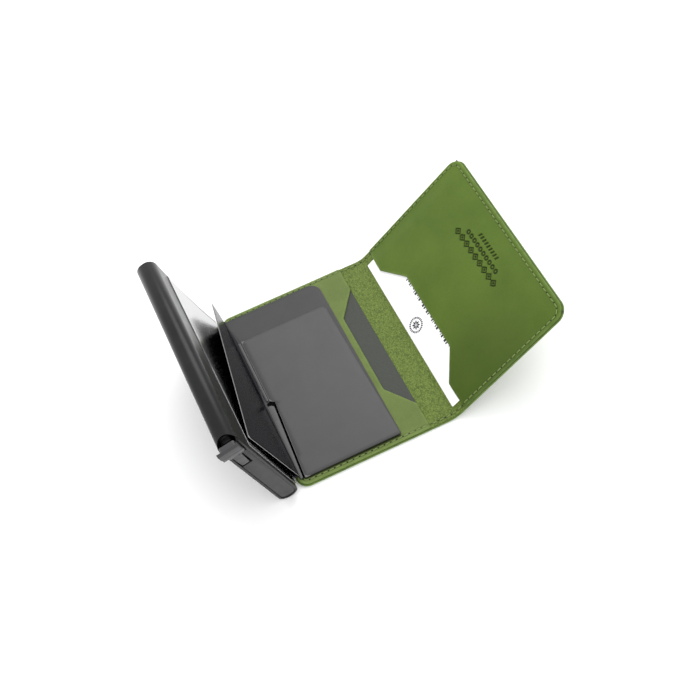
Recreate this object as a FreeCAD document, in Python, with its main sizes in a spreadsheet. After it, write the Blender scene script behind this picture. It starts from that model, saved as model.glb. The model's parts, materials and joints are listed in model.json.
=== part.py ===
import FreeCAD, Part
import Sketcher
import math
import os

# Tri-fold card holder: a leather cover with a middle panel and a folding flap, and a flat
# metal card case hinged to the cover's left edge by a plastic film.
# Row frame: millimetres, +Z up, +X from the case towards the flap, +Y along the fold lines.
# The origin is the centre of the middle panel's resting face.

os.makedirs("parts", exist_ok=True)
doc = FreeCAD.newDocument("card_holder")

SIZES = {
    # cover
    "cover_length": 96.0,
    "panel_width": 61.0,
    "spine_flat": 7.84,
    "flap_width": 67.88,
    "leather": 1.2,
    "lining": 0.4,
    "panel_pocket_leather": 0.85,
    "flap_pocket_leather": 0.8,
    "panel_corner": 5.0,
    "flap_corner": 6.0,
    "bend_radius": 12.0,
    "bend_angle": 39.0,
    "lining_inset": 1.5,
    # pockets and the card in the flap
    "notch_depth": 9.6,
    "notch_mouth": 68.6,
    "notch_floor": 42.2,
    "pocket_edge": 6.6,
    "card_length": 85.6,
    "card_width": 55.0,
    "card_thickness": 0.3,
    "card_edge": 2.0,
    "card_shift": -0.6,
    "card_level": 1.9,
    "card_travel": 5.5,
    "pocket_level": 2.25,
    "pocket_border": 4.2,
    # stitching
    "stitch_length": 1.9,
    "stitch_pitch": 2.9,
    "stitch_width": 0.45,
    "stitch_height": 0.18,
    "stitch_inset": 2.2,
    # plastic sheets on the middle panel
    "sheet": 0.4,
    "base_left": 3.0,
    "base_width": 45.6,
    "base_near": 3.5,
    "base_length": 89.8,
    "base_corner": 5.0,
    "clip_level": 3.15,
    "rib_width": 1.2,
    "rib_near": 45.0,
    "rib_length": 34.0,
    # film hinge and leaf
    "film": 0.3,
    "film_radius": 3.66,
    "film_start": 2.56,
    "film_near": 5.0,
    "film_length": 86.0,
    "leaf": 0.35,
    # card case
    "case_width": 64.0,
    "case_length": 95.5,
    "case_depth": 9.0,
    "case_wall": 1.0,
    "case_round": 4.0,
    "case_lean": 105.5,
    "case_x": -0.54,
    "case_y": -0.88,
    "case_z": 2.57,
    "scoop_depth": 3.1,
    "plate_low": 3.0,
    "plate_near_top": 49.3,
    "plate_far_top": 51.6,
    "plate_inset": 2.3,
    # mechanism in the case
    "cap_inset": 0.15,
    "cap_depth": 2.4,
    "pivot_a": 58.6,
    "pivot_y": 7.0,
    "pin_radius": 1.2,
    "boss_radius": 2.6,
    "lever_floor": 3.2,
    "lever_end": 5.0,
    "lever_step": 0.7,
    "lever_layer": 1.4,
    "lever_bottom": 1.95,
    "brake": 0.4,
    "spring_radius": 1.65,
    "spring_wire": 0.4,
    "spring_pitch": 0.5,
    "spring_height": 1.18,
}

sheet = doc.addObject("Spreadsheet::Sheet", "Size")
for row, (name, value) in enumerate(SIZES.items(), start=1):
    sheet.set("A%d" % row, name)
    sheet.set("B%d" % row, str(value))
    sheet.setAlias("B%d" % row, name)
doc.recompute()


class Dim:
    """A length with its value and the sheet expression it comes from."""

    def __init__(self, value, text):
        self.value = float(value)
        self.text = text

    def __add__(self, other):
        other = as_dim(other)
        return Dim(self.value + other.value, "(%s + %s)" % (self.text, other.text))

    def __radd__(self, other):
        return as_dim(other) + self

    def __sub__(self, other):
        other = as_dim(other)
        return Dim(self.value - other.value, "(%s - %s)" % (self.text, other.text))

    def __rsub__(self, other):
        return as_dim(other) - self

    def __mul__(self, factor):
        return Dim(self.value * factor, "(%s * %s)" % (self.text, factor))

    __rmul__ = __mul__

    def __truediv__(self, factor):
        return Dim(self.value / factor, "(%s / %s)" % (self.text, factor))

    def __neg__(self):
        return self * -1


def as_dim(value):
    return value if isinstance(value, Dim) else Dim(value, "%.4f" % value)


def size(name):
    return Dim(SIZES[name], "Size." + name)


def bind(obj, prop, dim):
    obj.setExpression(prop, as_dim(dim).text)


# Frames ---------------------------------------------------------------------------------

half_length = size("cover_length") / 2
half_panel = size("panel_width") / 2
panel_left = -half_panel
cover_near = -half_length


def place(obj, x=0, y=0, z=0, tilt=None):
    """Put obj at x, y, z in the row frame, turned about +Y by tilt degrees."""
    x, y, z = as_dim(x), as_dim(y), as_dim(z)
    turn = as_dim(0 if tilt is None else tilt)
    obj.Placement = FreeCAD.Placement(
        FreeCAD.Vector(x.value, y.value, z.value),
        FreeCAD.Rotation(FreeCAD.Vector(0, 1, 0), turn.value),
    )
    bind(obj, "Placement.Base.x", x)
    bind(obj, "Placement.Base.y", y)
    bind(obj, "Placement.Base.z", z)
    if tilt is not None and turn.value > 0:
        bind(obj, "Placement.Rotation.Angle", turn)


def place_case(obj):
    """The case frame: x up the case's width, y along it, z from its inner face to its outer."""
    obj.Placement = FreeCAD.Placement(
        FreeCAD.Vector(0, 0, 0), FreeCAD.Rotation(FreeCAD.Vector(0, -1, 0), SIZES["case_lean"])
    )
    bind(obj, "Placement.Base.x", panel_left + size("case_x"))
    bind(obj, "Placement.Base.y", cover_near + size("case_y"))
    bind(obj, "Placement.Base.z", size("case_z"))
    bind(obj, "Placement.Rotation.Angle", size("case_lean"))


def outer_corner():
    """Where the resting faces of the panel and the flap would meet."""
    reach = SIZES["bend_radius"] * math.tan(math.radians(SIZES["bend_angle"] / 2))
    text = "(Size.bend_radius * tan(Size.bend_angle * 1deg / 2))"
    return half_panel + size("spine_flat") + Dim(reach, text)


def place_flap(obj):
    """The flap frame: x away from the fold, z from the outer face to the inner."""
    obj.Placement = FreeCAD.Placement(
        FreeCAD.Vector(0, 0, 0), FreeCAD.Rotation(FreeCAD.Vector(0, -1, 0), SIZES["bend_angle"])
    )
    bind(obj, "Placement.Base.x", outer_corner())
    bind(obj, "Placement.Rotation.Angle", size("bend_angle"))


# Modelling helpers ----------------------------------------------------------------------


def new_body(name):
    body = doc.addObject("PartDesign::Body", name)
    body.Label = name
    return body


def origin_feature(body, role):
    return [f for f in body.Origin.OriginFeatures if f.Role == role][0]


def new_sketch(body, role, name, offset=0.0):
    sketch = body.newObject("Sketcher::SketchObject", name)
    sketch.AttachmentSupport = [(origin_feature(body, role), "")]
    sketch.MapMode = "FlatFace"
    sketch.AttachmentOffset = FreeCAD.Placement(
        FreeCAD.Vector(0, 0, as_dim(offset).value), FreeCAD.Rotation()
    )
    if isinstance(offset, Dim):
        bind(sketch, "AttachmentOffset.Base.z", offset)
    return sketch


def fix(sketch, geometry, point, x, y):
    """Hold a point of the sketch at x, y from its origin."""
    for kind, dim in (("DistanceX", as_dim(x)), ("DistanceY", as_dim(y))):
        number = sketch.addConstraint(
            Sketcher.Constraint(kind, -1, 1, geometry, point, dim.value)
        )
        if "Size." in dim.text:
            bind(sketch, "Constraints[%d]" % number, dim)


def polygon(sketch, corners):
    """A closed outline through the corners, each given as x, y."""
    points = [FreeCAD.Vector(as_dim(x).value, as_dim(y).value, 0) for x, y in corners]
    first = sketch.GeometryCount
    count = len(points)
    for k in range(count):
        sketch.addGeometry(Part.LineSegment(points[k], points[(k + 1) % count]), False)
    for k in range(count):
        sketch.addConstraint(
            Sketcher.Constraint("Coincident", first + k, 2, first + (k + 1) % count, 1)
        )
    for k, (x, y) in enumerate(corners):
        fix(sketch, first + k, 1, x, y)


def rectangle(sketch, x0, y0, x1, y1):
    polygon(sketch, [(x0, y0), (x1, y0), (x1, y1), (x0, y1)])


def circle(sketch, x, y, radius):
    radius = as_dim(radius)
    centre = FreeCAD.Vector(as_dim(x).value, as_dim(y).value, 0)
    number = sketch.addGeometry(Part.Circle(centre, FreeCAD.Vector(0, 0, 1), radius.value), False)
    held = sketch.addConstraint(Sketcher.Constraint("Radius", number, radius.value))
    if "Size." in radius.text:
        bind(sketch, "Constraints[%d]" % held, radius)
    fix(sketch, number, 3, x, y)


def pad(body, sketch, length, reverse=False, name="pad"):
    feature = body.newObject("PartDesign::Pad", body.Name + "_" + name)
    feature.Profile = sketch
    feature.Length = as_dim(length).value
    bind(feature, "Length", length)
    feature.Reversed = reverse
    body.Tip = feature
    doc.recompute()
    return feature


def pocket(body, sketch, length=None, reverse=False, both=False, name="pocket"):
    before = body.Shape.Volume
    feature = body.newObject("PartDesign::Pocket", body.Name + "_" + name)
    feature.Profile = sketch
    if length is None:
        feature.Type = 1
        feature.Midplane = both
    else:
        feature.Length = as_dim(length).value
        bind(feature, "Length", length)
    feature.Reversed = reverse
    body.Tip = feature
    doc.recompute()
    removed = before - body.Shape.Volume
    if removed < 0.01:
        raise RuntimeError("%s removes nothing (%.3f)" % (feature.Name, removed))
    return feature


def edges_where(body, test):
    """Names of the tip's edges whose middle point passes the test."""
    names = []
    for number, edge in enumerate(body.Tip.Shape.Edges, start=1):
        low, high = edge.ParameterRange
        middle = edge.valueAt((low + high) / 2)
        along = edge.valueAt(high) - edge.valueAt(low)
        if test(middle, along):
            names.append("Edge%d" % number)
    return names


def fillet(body, radius, test, name="fillet"):
    names = edges_where(body, test)
    if not names:
        raise RuntimeError("%s: no edges found for %s" % (body.Name, name))
    base_feature = body.Tip
    feature = body.newObject("PartDesign::Fillet", body.Name + "_" + name)
    feature.Base = (base_feature, names)
    feature.Radius = as_dim(radius).value
    bind(feature, "Radius", radius)
    body.Tip = feature
    doc.recompute()
    if "Invalid" in feature.State:
        raise RuntimeError("%s could not be rounded" % feature.Name)
    return feature


def upright(along):
    return abs(along.z) > 0.9 * along.Length


def lengthwise(along):
    return abs(along.y) > 0.9 * along.Length


def box(name, x0, y0, z0, x1, y1, z1):
    """A rectangular block as a body of its own."""
    body = new_body(name)
    sketch = new_sketch(body, "XY_Plane", name + "_outline", z0)
    rectangle(sketch, x0, y0, x1, y1)
    pad(body, sketch, as_dim(z1) - z0)
    return body


# Cover: outer leather -------------------------------------------------------------------

leather = size("leather")
corner = size("panel_corner")

outer_panel = box("outer_leather_panel", panel_left, cover_near, 0, half_panel, half_length, leather)
fillet(
    outer_panel,
    corner,
    lambda middle, along: upright(along) and middle.x < 0,
)

bend_radius = size("bend_radius")


def bent_strip(name, low, high, flat, half_width):
    """A strip that runs flat to the bend and then round it, between two levels of the cover."""
    body = new_body(name)
    place(body, half_panel + size("spine_flat"))
    section = new_sketch(body, "YZ_Plane", name + "_flat")
    rectangle(section, -half_width, low, half_width, high)
    pad(body, section, flat, reverse=True)
    turned = new_sketch(body, "YZ_Plane", name + "_turned")
    rectangle(turned, -half_width, low, half_width, high)
    axis = turned.addGeometry(
        Part.LineSegment(
            FreeCAD.Vector(-10, bend_radius.value, 0), FreeCAD.Vector(10, bend_radius.value, 0)
        ),
        True,
    )
    fix(turned, axis, 1, -10, bend_radius)
    fix(turned, axis, 2, 10, bend_radius)
    bend = body.newObject("PartDesign::Revolution", name + "_bend")
    bend.Profile = turned
    bend.ReferenceAxis = (turned, ["Axis0"])
    bend.Angle = SIZES["bend_angle"]
    bind(bend, "Angle", size("bend_angle"))
    body.Tip = bend
    doc.recompute()
    if body.Shape.BoundBox.XMax < body.Placement.Base.x + 1:
        bend.Reversed = True
        doc.recompute()
    return body


bent_strip("outer_leather_spine", as_dim(0), leather, size("spine_flat"), half_length)

bend_reach = outer_corner() - half_panel - size("spine_flat")
flap_end = size("flap_width")


def on_flap_corner(middle, along):
    return upright(along) and middle.x > 60 and abs(middle.y) > 40


outer_flap = box(
    "outer_leather_flap", bend_reach, cover_near, 0, flap_end, half_length, leather
)
fillet(outer_flap, size("flap_corner"), on_flap_corner)
place_flap(outer_flap)

# Cover: linings and pockets -------------------------------------------------------------

lining_top = leather + size("lining")
inset = size("lining_inset")

box(
    "panel_lining",
    panel_left + inset,
    cover_near + inset,
    leather,
    half_panel,
    half_length - inset,
    lining_top,
)

bent_strip("spine_strip", leather, lining_top, size("spine_flat"), half_length)

flap_lining = box(
    "flap_lining",
    bend_reach,
    cover_near + inset,
    leather,
    flap_end - inset,
    half_length - inset,
    lining_top,
)
place_flap(flap_lining)

mouth = size("notch_mouth") / 2
floor = size("notch_floor") / 2
depth = size("notch_depth")

panel_pocket = new_body("panel_pocket")
outline = new_sketch(panel_pocket, "XY_Plane", "panel_pocket_outline", lining_top)
polygon(
    outline,
    [
        (panel_left, cover_near),
        (half_panel, cover_near),
        (half_panel, -mouth),
        (half_panel - depth, -floor),
        (half_panel - depth, floor),
        (half_panel, mouth),
        (half_panel, half_length),
        (panel_left, half_length),
    ],
)
pad(panel_pocket, outline, size("panel_pocket_leather"))
fillet(
    panel_pocket,
    corner,
    lambda middle, along: upright(along) and middle.x < -20,
)

flap_pocket = new_body("flap_pocket")
pocket_level = size("pocket_level")
outline = new_sketch(flap_pocket, "XY_Plane", "flap_pocket_outline", lining_top)
edge = size("pocket_edge")
polygon(
    outline,
    [
        (edge, cover_near),
        (flap_end, cover_near),
        (flap_end, half_length),
        (edge, half_length),
        (edge, mouth),
        (edge + depth, floor),
        (edge + depth, -floor),
        (edge, -mouth),
    ],
)
pad(flap_pocket, outline, pocket_level - lining_top + size("flap_pocket_leather"))
fillet(flap_pocket, size("flap_corner"), on_flap_corner)
hollow = new_sketch(flap_pocket, "XY_Plane", "flap_pocket_hollow", lining_top)
border = size("pocket_border")
card_end = size("card_edge") + size("card_width")
rectangle(hollow, 0, cover_near + border, card_end + size("card_travel") + 0.3, half_length - border)
pocket(flap_pocket, hollow, pocket_level - lining_top, reverse=True, name="hollow")
place_flap(flap_pocket)

card_level = size("card_level")
card_half = size("card_length") / 2
card = box(
    "pocket_card",
    size("card_edge"),
    size("card_shift") - card_half,
    card_level,
    card_end,
    size("card_shift") + card_half,
    card_level + size("card_thickness"),
)
fillet(card, 0.4, lambda middle, along: upright(along), name="corners")
place_flap(card)

# Stitching ------------------------------------------------------------------------------


def stitch_row(start, end, level):
    """Short threads along a straight seam, lying on the leather at the given level."""
    length = SIZES["stitch_length"]
    width = SIZES["stitch_width"]
    height = SIZES["stitch_height"]
    run = end - start
    count = int(run.Length // SIZES["stitch_pitch"])
    pitch = run.Length / count
    turn = math.degrees(math.atan2(run.y, run.x))
    threads = []
    for k in range(count):
        thread = Part.makeBox(length, width, height, FreeCAD.Vector(-length / 2, -width / 2, level))
        thread.rotate(FreeCAD.Vector(0, 0, 0), FreeCAD.Vector(0, 0, 1), turn)
        thread.translate(start + run * ((k + 0.5) * pitch / run.Length))
        threads.append(thread)
    return threads


def stitching(name, rows, level):
    threads = []
    for start, end in rows:
        threads += stitch_row(FreeCAD.Vector(*start), FreeCAD.Vector(*end), level)
    feature = doc.addObject("Part::Feature", name)
    feature.Label = name
    feature.Shape = Part.makeCompound(threads)
    return feature


half = SIZES["cover_length"] / 2
seam = half - SIZES["stitch_inset"]
left = -SIZES["panel_width"] / 2
panel_top = SIZES["leather"] + SIZES["lining"] + SIZES["panel_pocket_leather"]
panel_rows = [
    ((left + 6.0, -seam, 0), (-left - 0.5, -seam, 0)),
    ((left + 6.0, seam, 0), (-left - 0.5, seam, 0)),
]
stitching("panel_stitching", panel_rows, panel_top)

flap_top = SIZES["pocket_level"] + SIZES["flap_pocket_leather"]
flap_seam = SIZES["flap_width"] - SIZES["stitch_inset"]
round_off = SIZES["flap_corner"] - SIZES["stitch_inset"] + 1.0
flap_rows = [
    ((SIZES["pocket_edge"] + 0.8, -seam, 0), (flap_seam - round_off, -seam, 0)),
    ((SIZES["pocket_edge"] + 0.8, seam, 0), (flap_seam - round_off, seam, 0)),
    ((flap_seam, -seam + round_off, 0), (flap_seam, seam - round_off, 0)),
]
place_flap(stitching("flap_stitching", flap_rows, flap_top))

# Plastic sheets on the middle panel -----------------------------------------------------

panel_face = lining_top + size("panel_pocket_leather")
thin = size("sheet")
base_left = panel_left + size("base_left")
base_near = cover_near + size("base_near")
base_right = base_left + size("base_width")
base_far = base_near + size("base_length")

base = box("base_sheet", base_left, base_near, panel_face, base_right, base_far, panel_face + thin)
fillet(
    base,
    size("base_corner"),
    lambda middle, along: upright(along) and middle.x > 0 and middle.y > 0,
)

clip_level = size("clip_level")
clip = new_body("clip_sheet")
outline = new_sketch(clip, "XY_Plane", "clip_outline", clip_level)
# Corners of the clip, from the panel's left edge and near edge.
CLIP = [
    (3.6, 3.0),
    (48.2, 3.0),
    (46.5, 79.4),
    (4.8, 79.4),
    (4.45, 44.5),
    (6.4, 43.2),
]
polygon(outline, [(panel_left + x, cover_near + y) for x, y in CLIP])
pad(clip, outline, thin)
fillet(
    clip,
    2.6,
    lambda middle, along: upright(along) and middle.x > 10 and middle.y > 20,
)

rib_left = base_left + 0.1
rib_near = cover_near + size("rib_near")
box(
    "clip_rib",
    rib_left,
    rib_near,
    panel_face + thin,
    rib_left + size("rib_width"),
    rib_near + size("rib_length"),
    clip_level + thin,
)

# Film hinge: a thin bend from the base sheet's edge up to the plate on the case ---------

film = new_body("hinge_film")
place(film, panel_left + size("film_start"), 0, panel_face)
film_low = cover_near + size("film_near")
film_high = film_low + size("film_length")
film_axis = size("film") + size("film_radius")
section = new_sketch(film, "YZ_Plane", "film_section")
rectangle(section, film_low, 0, film_high, size("film"))
axis = section.addGeometry(
    Part.LineSegment(
        FreeCAD.Vector(-10, film_axis.value, 0), FreeCAD.Vector(10, film_axis.value, 0)
    ),
    True,
)
fix(section, axis, 1, -10, film_axis)
fix(section, axis, 2, 10, film_axis)
bend = film.newObject("PartDesign::Revolution", "film_bend")
bend.Profile = section
bend.ReferenceAxis = (section, ["Axis0"])
bend.Angle = 180 - SIZES["case_lean"]
bind(bend, "Angle", 180 - size("case_lean"))
film.Tip = bend
doc.recompute()
if film.Shape.BoundBox.XMax > panel_left.value + SIZES["film_start"] + 0.5:
    bend.Reversed = True
    doc.recompute()

# Leaf: a loose film divider between the case and the sheets ------------------------------

# Foot and tip of the leaf at its near and far ends: x from the panel's left edge, and z.
LEAF_NEAR = ((1.55, 3.15), (-12.55, 49.6))
LEAF_FAR = ((2.75, 3.15), (-0.1, 24.6))
leaf = new_body("hinge_leaf")


def leaf_section(name, foot, tip, y):
    """A thin quadrilateral across the leaf, in a plane square to the fold lines."""
    sketch = new_sketch(leaf, "XZ_Plane", name, -(as_dim(cover_near) + y))
    dx = tip[0] - foot[0]
    dz = tip[1] - foot[1]
    run = math.hypot(dx, dz)
    nx = -dz / run * SIZES["leaf"] / 2
    nz = dx / run * SIZES["leaf"] / 2
    corners = [
        (foot[0] + nx, foot[1] + nz),
        (foot[0] - nx, foot[1] - nz),
        (tip[0] - nx, tip[1] - nz),
        (tip[0] + nx, tip[1] + nz),
    ]
    polygon(sketch, [(panel_left + x, z) for x, z in corners])
    return sketch


near_section = leaf_section("leaf_near", LEAF_NEAR[0], LEAF_NEAR[1], 5.2)
far_section = leaf_section("leaf_far", LEAF_FAR[0], LEAF_FAR[1], 93.8)
loft = leaf.newObject("PartDesign::AdditiveLoft", "leaf_loft")
loft.Profile = near_section
loft.Sections = [far_section]
loft.Ruled = True
leaf.Tip = loft
doc.recompute()
slant = new_sketch(leaf, "YZ_Plane", "leaf_slant")
polygon(
    slant,
    [
        (half_length - 2.2, 3.0),
        (half_length + 4.0, 3.0),
        (half_length + 4.0, 30.0),
        (half_length - 6.6, 30.0),
    ],
)
pocket(leaf, slant, both=True, name="slant_cut")

# Card case ------------------------------------------------------------------------------

case_width = size("case_width")
case_length = size("case_length")
case_depth = size("case_depth")
wall = size("case_wall")

tube = new_body("case_tube")
section = new_sketch(tube, "XZ_Plane", "tube_section")
rectangle(section, 0, 0, case_width, case_depth)
rectangle(section, wall, wall, case_width - wall, case_depth - wall)
pad(tube, section, case_length, reverse=True)


def outer_long_edge(middle, along):
    at_side = middle.x < 0.5 or middle.x > SIZES["case_width"] - 0.5
    return lengthwise(along) and at_side


fillet(tube, size("case_round"), outer_long_edge, name="outer_round")


def bore_long_edge(middle, along):
    near_bore = abs(middle.x - SIZES["case_wall"]) < 0.01
    far_bore = abs(middle.x - SIZES["case_width"] + SIZES["case_wall"]) < 0.01
    return lengthwise(along) and (near_bore or far_bore)


fillet(tube, size("case_round") - wall, bore_long_edge, name="inner_round")

# The mouth is scooped so that the cards can be gripped.
half_width = SIZES["case_width"] / 2
scoop_radius = (half_width ** 2 + SIZES["scoop_depth"] ** 2) / (2 * SIZES["scoop_depth"])
scoop_centre = case_length - size("scoop_depth") + scoop_radius


def scoop(body, name, shift=0):
    sketch = new_sketch(body, "XY_Plane", name)
    circle(sketch, case_width / 2, scoop_centre - shift, scoop_radius)
    pocket(body, sketch, both=True, name=name + "_cut")


scoop(tube, "tube_scoop")

# The corner beside the button is cut back in an arc across the case's thickness.
corner_cut = new_sketch(tube, "YZ_Plane", "tube_corner_cut", case_width + 1)
circle(corner_cut, -1.75, case_depth / 2, 5.1)
pocket(tube, corner_cut, as_dim(4.6), reverse=False, name="corner_cut")
place_case(tube)

cap = new_body("end_cap")
clear = 0.12
cap_low = wall + clear
cap_high = case_depth - wall - clear
cap_right = 51.0
outline = new_sketch(cap, "XY_Plane", "cap_outline", cap_low)
polygon(
    outline,
    [
        (cap_low, size("cap_inset")),
        (cap_right, size("cap_inset")),
        (cap_right, size("cap_depth")),
        (cap_low, size("cap_depth")),
    ],
)
pad(cap, outline, cap_high - cap_low)
cap_round = size("case_round") - wall
fillet(
    cap,
    cap_round,
    lambda middle, along: lengthwise(along) and middle.x < 2,
    name="cap_round",
)
slot = new_sketch(cap, "XY_Plane", "cap_slot", 3.15)
rectangle(slot, 41.3, -1, cap_right + 1, 4)
pocket(cap, slot, as_dim(5), reverse=True, name="slot_cut")
# The tongue carries the pivot pin and steps back to leave room for the button's travel.
tongue = new_sketch(cap, "XY_Plane", "cap_tongue", cap_low)
polygon(
    tongue,
    [
        (40, size("cap_depth") - 0.3),
        (cap_right, size("cap_depth") - 0.3),
        (cap_right, 3.7),
        (60.2, 3.7),
        (60.2, 11),
        (40, 11),
    ],
)
pad(cap, tongue, as_dim(0.7), name="tongue_pad")
place_case(cap)

plate = new_body("case_plate")
outline = new_sketch(plate, "XY_Plane", "plate_outline", -thin)
plate_low = size("plate_low")
polygon(
    outline,
    [
        (plate_low, 2.0),
        (size("plate_near_top"), 2.0),
        (size("plate_far_top"), case_length - size("plate_inset")),
        (plate_low, case_length - size("plate_inset")),
    ],
)
pad(plate, outline, thin)
scoop(plate, "plate_scoop", size("plate_inset"))
place_case(plate)

brake = box(
    "card_brake",
    8,
    76,
    case_depth - wall - size("brake"),
    56,
    84,
    case_depth - wall,
)
place_case(brake)

# Pivot, spring and stepped lever that push the cards out --------------------------------

pivot_a = size("pivot_a")
pivot_y = size("pivot_y")
tongue_top = cap_low + 0.7

pin = doc.addObject("Part::Cylinder", "lever_pivot_pin")
pin.Label = "lever_pivot_pin"
bind(pin, "Radius", size("pin_radius"))
bind(pin, "Height", case_depth - wall - clear - tongue_top)


def place_in_case(obj, a, y, z):
    """Set an object down at a point of the case frame, upright across the case's thickness."""
    lean = FreeCAD.Rotation(FreeCAD.Vector(0, -1, 0), SIZES["case_lean"])
    case = FreeCAD.Placement(
        FreeCAD.Vector(
            panel_left.value + SIZES["case_x"],
            cover_near.value + SIZES["case_y"],
            SIZES["case_z"],
        ),
        lean,
    )
    spot = FreeCAD.Vector(as_dim(a).value, as_dim(y).value, as_dim(z).value)
    obj.Placement = case.multiply(FreeCAD.Placement(spot, FreeCAD.Rotation()))


place_in_case(pin, pivot_a, pivot_y, tongue_top)

spring = new_body("lever_spring")
wire = new_sketch(spring, "XZ_Plane", "spring_wire_section")
circle(wire, size("spring_radius"), 0, size("spring_wire") / 2)
coil = spring.newObject("PartDesign::AdditiveHelix", "spring_coil")
coil.Profile = wire
coil.ReferenceAxis = (origin_feature(spring, "Z_Axis"), [""])
coil.Mode = 0
coil.Angle = 0
bind(coil, "Pitch", size("spring_pitch"))
bind(coil, "Height", size("spring_height"))
spring.Tip = coil
doc.recompute()
place_in_case(spring, pivot_a, pivot_y, tongue_top + 0.21)

lever = new_body("ejector_lever")
lever_floor = size("lever_floor")
layer = size("lever_layer")
for step in range(4):
    level = size("lever_bottom") + layer * step
    sketch = new_sketch(lever, "XY_Plane", "lever_layer_%d" % step, level)
    reach = as_dim(54.5) if step == 0 else pivot_a
    top = lever_floor + 2.0 + size("lever_step") * step
    rectangle(sketch, size("lever_end"), lever_floor, reach, top)
    pad(lever, sketch, layer, name="layer_%d" % step)
boss_low = size("lever_bottom") + layer + 0.1
boss = new_sketch(lever, "XY_Plane", "lever_boss", boss_low)
circle(boss, pivot_a, pivot_y, size("boss_radius"))
pad(lever, boss, size("lever_bottom") + layer * 4 - boss_low, name="boss_pad")
bore = new_sketch(lever, "XY_Plane", "lever_bore")
circle(bore, pivot_a, pivot_y, size("pin_radius") + 0.05)
pocket(lever, bore, both=True, name="bore_cut")
place_case(lever)

# Ejector button: a ridged pad on the corner of the case with a tab flush in the end cap ----

button = new_body("ejector_button")
# Profile of the pad and the tab, seen across the case's thickness: x up the case, y along it.
PAD = [
    (51.3, 0.6),
    (51.3, -0.3),
    (57.4, -3.25),
    (59.4, -3.45),
    (59.9, -3.1),
    (60.4, -3.9),
    (63.3, -3.9),
    (64.2, -3.1),
    (64.2, -0.9),
    (60.0, -0.9),
    (60.0, 0.6),
]
profile = new_sketch(button, "XY_Plane", "button_profile", 1.2)
polygon(profile, PAD)
pad(button, profile, as_dim(6.6), name="pad_core")
LIP = [
    (57.4, -3.25),
    (59.4, -3.45),
    (59.9, -3.1),
    (60.4, -3.9),
    (63.3, -3.9),
    (64.2, -3.1),
    (64.2, -2.8),
    (57.4, -2.8),
]
lip = new_sketch(button, "XY_Plane", "button_lip", 0.3)
polygon(lip, LIP)
pad(button, lip, as_dim(9.3), name="lip_pad")
tab = new_sketch(button, "XY_Plane", "button_tab", 3.7)
rectangle(tab, 41.9, 0.1, 51.3, 2.0)
pad(button, tab, as_dim(4.1), name="tab_pad")
nub = new_sketch(button, "XY_Plane", "button_nub", 3.7)
rectangle(nub, 50.1, 0.1, 51.1, 3.05)
pad(button, nub, as_dim(3.8), name="nub_pad")
fillet(
    button,
    0.7,
    lambda middle, along: lengthwise(along) and middle.x > 64 and middle.y > -2.9,
    name="edge_round",
)
place_case(button)

# Write the parts ------------------------------------------------------------------------

doc.recompute()
NODES = [
    "outer_leather_panel",
    "outer_leather_spine",
    "outer_leather_flap",
    "panel_lining",
    "spine_strip",
    "flap_lining",
    "panel_pocket",
    "flap_pocket",
    "pocket_card",
    "panel_stitching",
    "flap_stitching",
    "base_sheet",
    "clip_sheet",
    "clip_rib",
    "hinge_film",
    "hinge_leaf",
    "case_tube",
    "end_cap",
    "case_plate",
    "card_brake",
    "lever_pivot_pin",
    "lever_spring",
    "ejector_lever",
    "ejector_button",
]
for obj in doc.Objects:
    if "Invalid" in obj.State or "Error" in obj.State:
        raise RuntimeError("%s is in state %s" % (obj.Name, obj.State))
for name in NODES:
    node = doc.getObject(name)
    shape = node.Shape
    if shape.isNull() or not shape.isValid():
        raise RuntimeError("%s has no valid shape" % name)
    shape.exportStep("parts/%s.step" % name)
    bounds = shape.BoundBox
    print(
        "%-20s solids %3d volume %9.2f  x %7.2f %7.2f  y %7.2f %7.2f  z %6.2f %6.2f"
        % (
            name,
            len(shape.Solids),
            shape.Volume,
            bounds.XMin,
            bounds.XMax,
            bounds.YMin,
            bounds.YMax,
            bounds.ZMin,
            bounds.ZMax,
        )
    )
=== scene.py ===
import json
import math

import bmesh
import bpy
import numpy as np
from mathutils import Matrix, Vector
from mathutils.geometry import delaunay_2d_cdt


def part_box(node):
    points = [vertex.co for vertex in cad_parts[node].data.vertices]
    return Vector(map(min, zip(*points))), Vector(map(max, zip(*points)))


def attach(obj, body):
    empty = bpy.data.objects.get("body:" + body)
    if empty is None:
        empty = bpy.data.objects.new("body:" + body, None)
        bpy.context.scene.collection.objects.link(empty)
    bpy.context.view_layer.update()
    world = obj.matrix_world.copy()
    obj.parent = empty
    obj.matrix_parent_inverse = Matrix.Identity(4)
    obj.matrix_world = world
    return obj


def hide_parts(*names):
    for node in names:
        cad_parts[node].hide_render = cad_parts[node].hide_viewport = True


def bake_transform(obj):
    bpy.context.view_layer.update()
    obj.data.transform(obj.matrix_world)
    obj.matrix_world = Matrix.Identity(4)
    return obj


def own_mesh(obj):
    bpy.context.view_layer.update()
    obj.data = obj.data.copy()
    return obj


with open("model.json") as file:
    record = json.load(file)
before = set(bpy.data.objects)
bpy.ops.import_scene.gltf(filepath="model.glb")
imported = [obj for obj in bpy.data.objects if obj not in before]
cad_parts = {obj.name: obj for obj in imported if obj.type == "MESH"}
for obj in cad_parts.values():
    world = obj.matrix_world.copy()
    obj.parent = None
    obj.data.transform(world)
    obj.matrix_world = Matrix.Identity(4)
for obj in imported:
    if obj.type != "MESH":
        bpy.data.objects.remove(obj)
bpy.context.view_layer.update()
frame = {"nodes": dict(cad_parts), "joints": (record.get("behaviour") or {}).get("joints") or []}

# Shapes are worked out in millimetres and turned into metres when a mesh is made.
MM = 0.001
link = bpy.context.scene.collection.objects.link


def corners_mm(node):
    low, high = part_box(node)
    return np.array(low) / MM, np.array(high) / MM


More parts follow.
